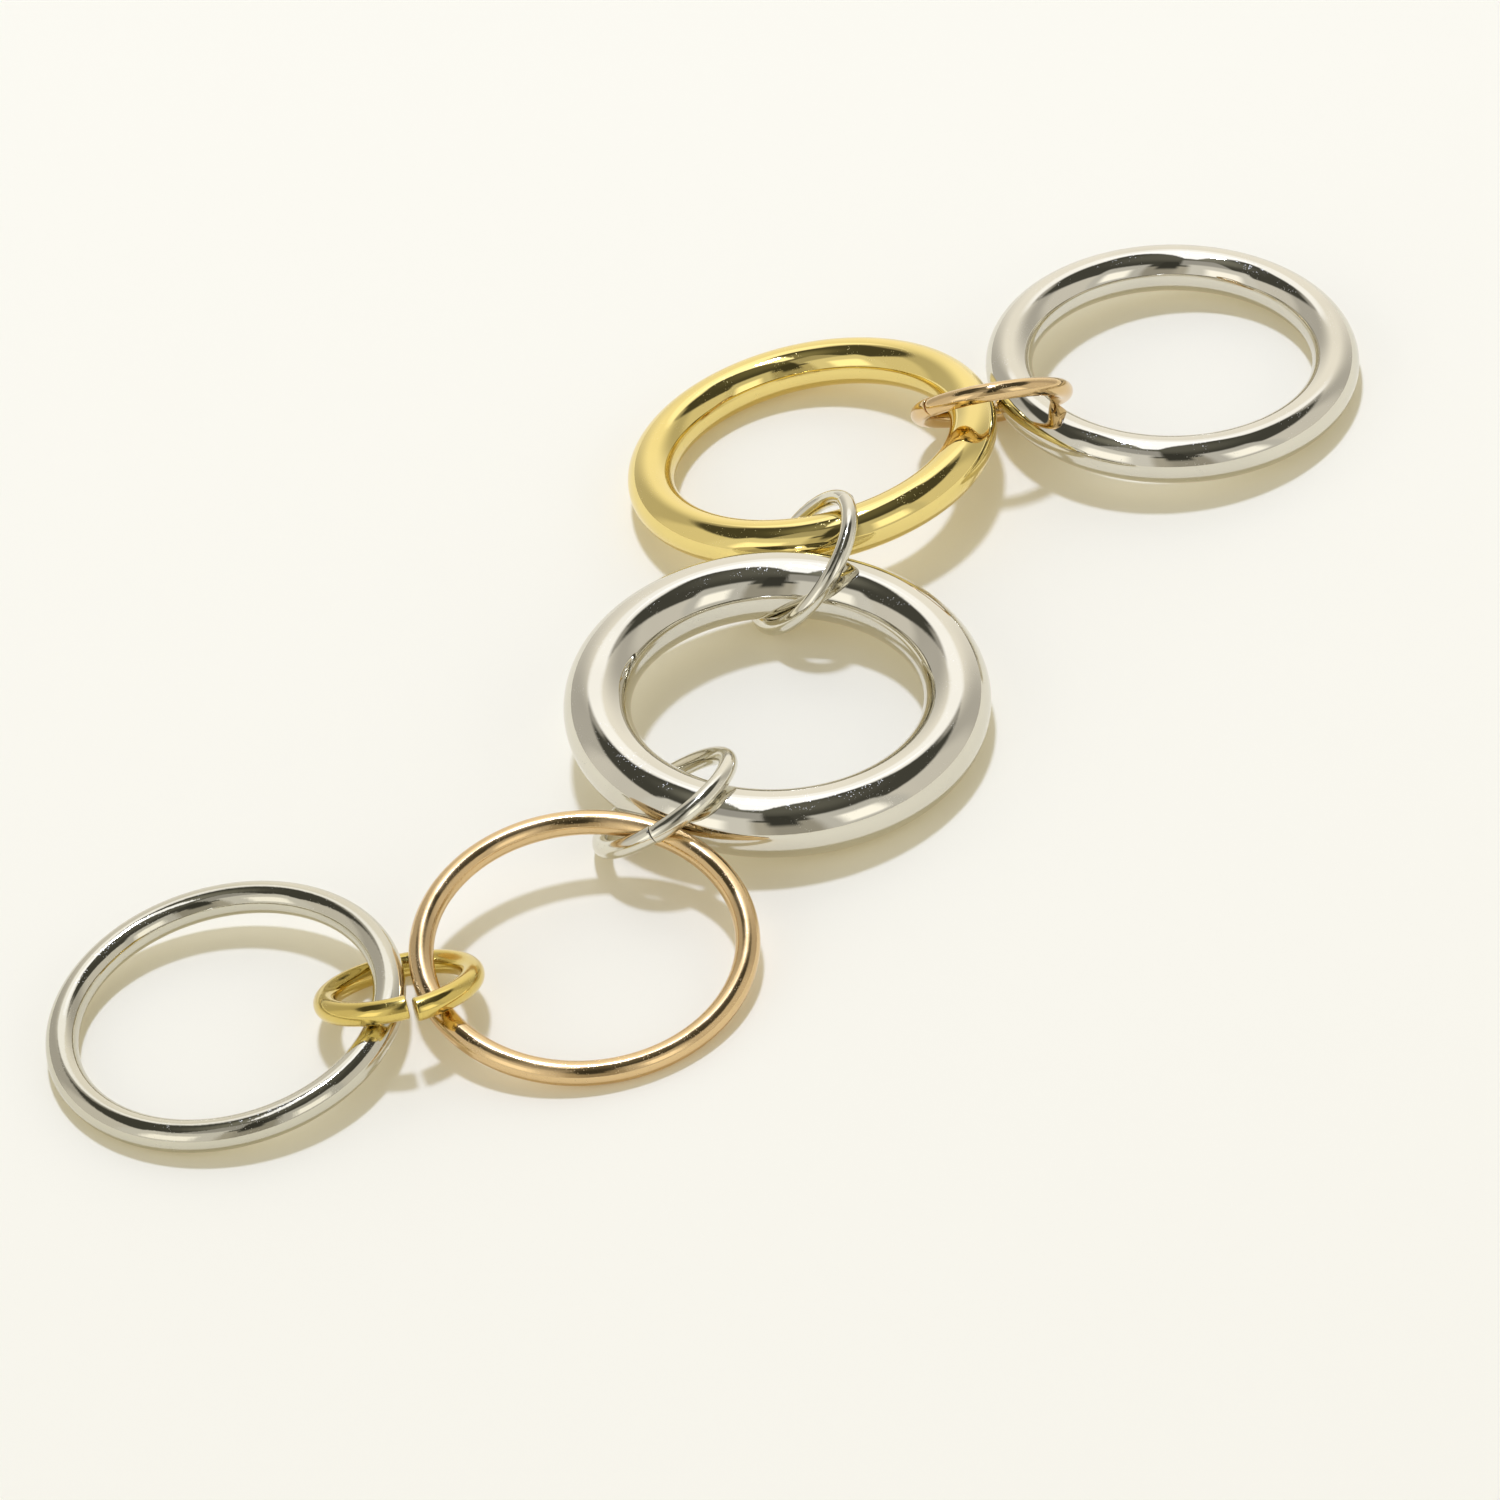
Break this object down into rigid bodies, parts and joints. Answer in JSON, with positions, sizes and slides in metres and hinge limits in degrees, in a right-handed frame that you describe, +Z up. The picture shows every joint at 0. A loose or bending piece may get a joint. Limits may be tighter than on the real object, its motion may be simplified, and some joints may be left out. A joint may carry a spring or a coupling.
{
  "type": "linked finger rings",
  "caption": "Row of polished round-wire finger rings in silver, yellow gold and rose gold, threaded together by small open jump rings.",
  "frame": {"origin": "centre of the laid-out set's bounding box, on the surface the rings lie on", "axes": "+X along the row from the slim silver ring to the medium silver ring, +Y away from the front, +Z up from the surface"},
  "size_m": [0.0832, 0.07, 0.0076],
  "materials": {
    "silver": "mirror polished silver",
    "yellow_gold": "mirror polished yellow gold",
    "rose_gold": "mirror polished rose gold"
  },
  "bodies": {
    "silver_heavy_ring": {"silver_heavy_ring": "silver"},
    "silver_front_jump_ring": {"silver_front_jump_ring": "silver"},
    "rose_fine_ring": {"rose_fine_ring": "rose_gold"},
    "gold_jump_ring": {"gold_jump_ring": "yellow_gold"},
    "silver_slim_ring": {"silver_slim_ring": "silver"},
    "silver_back_jump_ring": {"silver_back_jump_ring": "silver"},
    "gold_medium_ring": {"gold_medium_ring": "yellow_gold"},
    "rose_jump_ring": {"rose_jump_ring": "rose_gold"},
    "silver_medium_ring": {"silver_medium_ring": "silver"}
  },
  "joints": [
    {"name": "front_jump_ring_slide", "type": "hinge", "parent": "silver_heavy_ring", "child": "silver_front_jump_ring", "pos_m": [0.0028, -0.0049, 0.00293], "axis": [0.0739, -0.0462, 0.9962], "range_deg": [-60, 60]},
    {"name": "rose_ring_fold", "type": "hinge", "parent": "silver_front_jump_ring", "child": "rose_fine_ring", "pos_m": [-0.00577, -0.01551, 0.00346], "axis": [-0.8797, 0.4582, 0.1269], "range_deg": [-30, 45]},
    {"name": "gold_jump_ring_fold", "type": "hinge", "parent": "rose_fine_ring", "child": "gold_jump_ring", "pos_m": [-0.01944, -0.02529, 0.00262], "axis": [0.1627, -0.9717, -0.1713], "range_deg": [-30, 60]},
    {"name": "slim_ring_turn", "type": "hinge", "parent": "gold_jump_ring", "child": "silver_slim_ring", "pos_m": [-0.0311, -0.0245, 0.00179], "axis": [-0.0731, -0.0475, 0.9962], "continuous": true},
    {"name": "back_jump_ring_fold", "type": "hinge", "parent": "silver_heavy_ring", "child": "silver_back_jump_ring", "pos_m": [0.00514, 0.00548, 0.00324], "axis": [-0.9727, 0.2171, 0.0822], "range_deg": [-90, 15]},
    {"name": "gold_ring_fold", "type": "hinge", "parent": "silver_back_jump_ring", "child": "gold_medium_ring", "pos_m": [0.00576, 0.00914, 0.00365], "axis": [-0.9862, 0.1343, -0.097], "range_deg": [-45, 5]},
    {"name": "rose_jump_ring_fold", "type": "hinge", "parent": "gold_medium_ring", "child": "rose_jump_ring", "pos_m": [0.01721, 0.02018, 0.00351], "axis": [0.0991, -0.9892, 0.1082], "range_deg": [-10, 90]},
    {"name": "medium_ring_fold", "type": "hinge", "parent": "rose_jump_ring", "child": "silver_medium_ring", "pos_m": [0.02041, 0.02076, 0.00302], "axis": [0.2709, -0.9625, -0.0133], "range_deg": [-20, 70]}
  ]
}
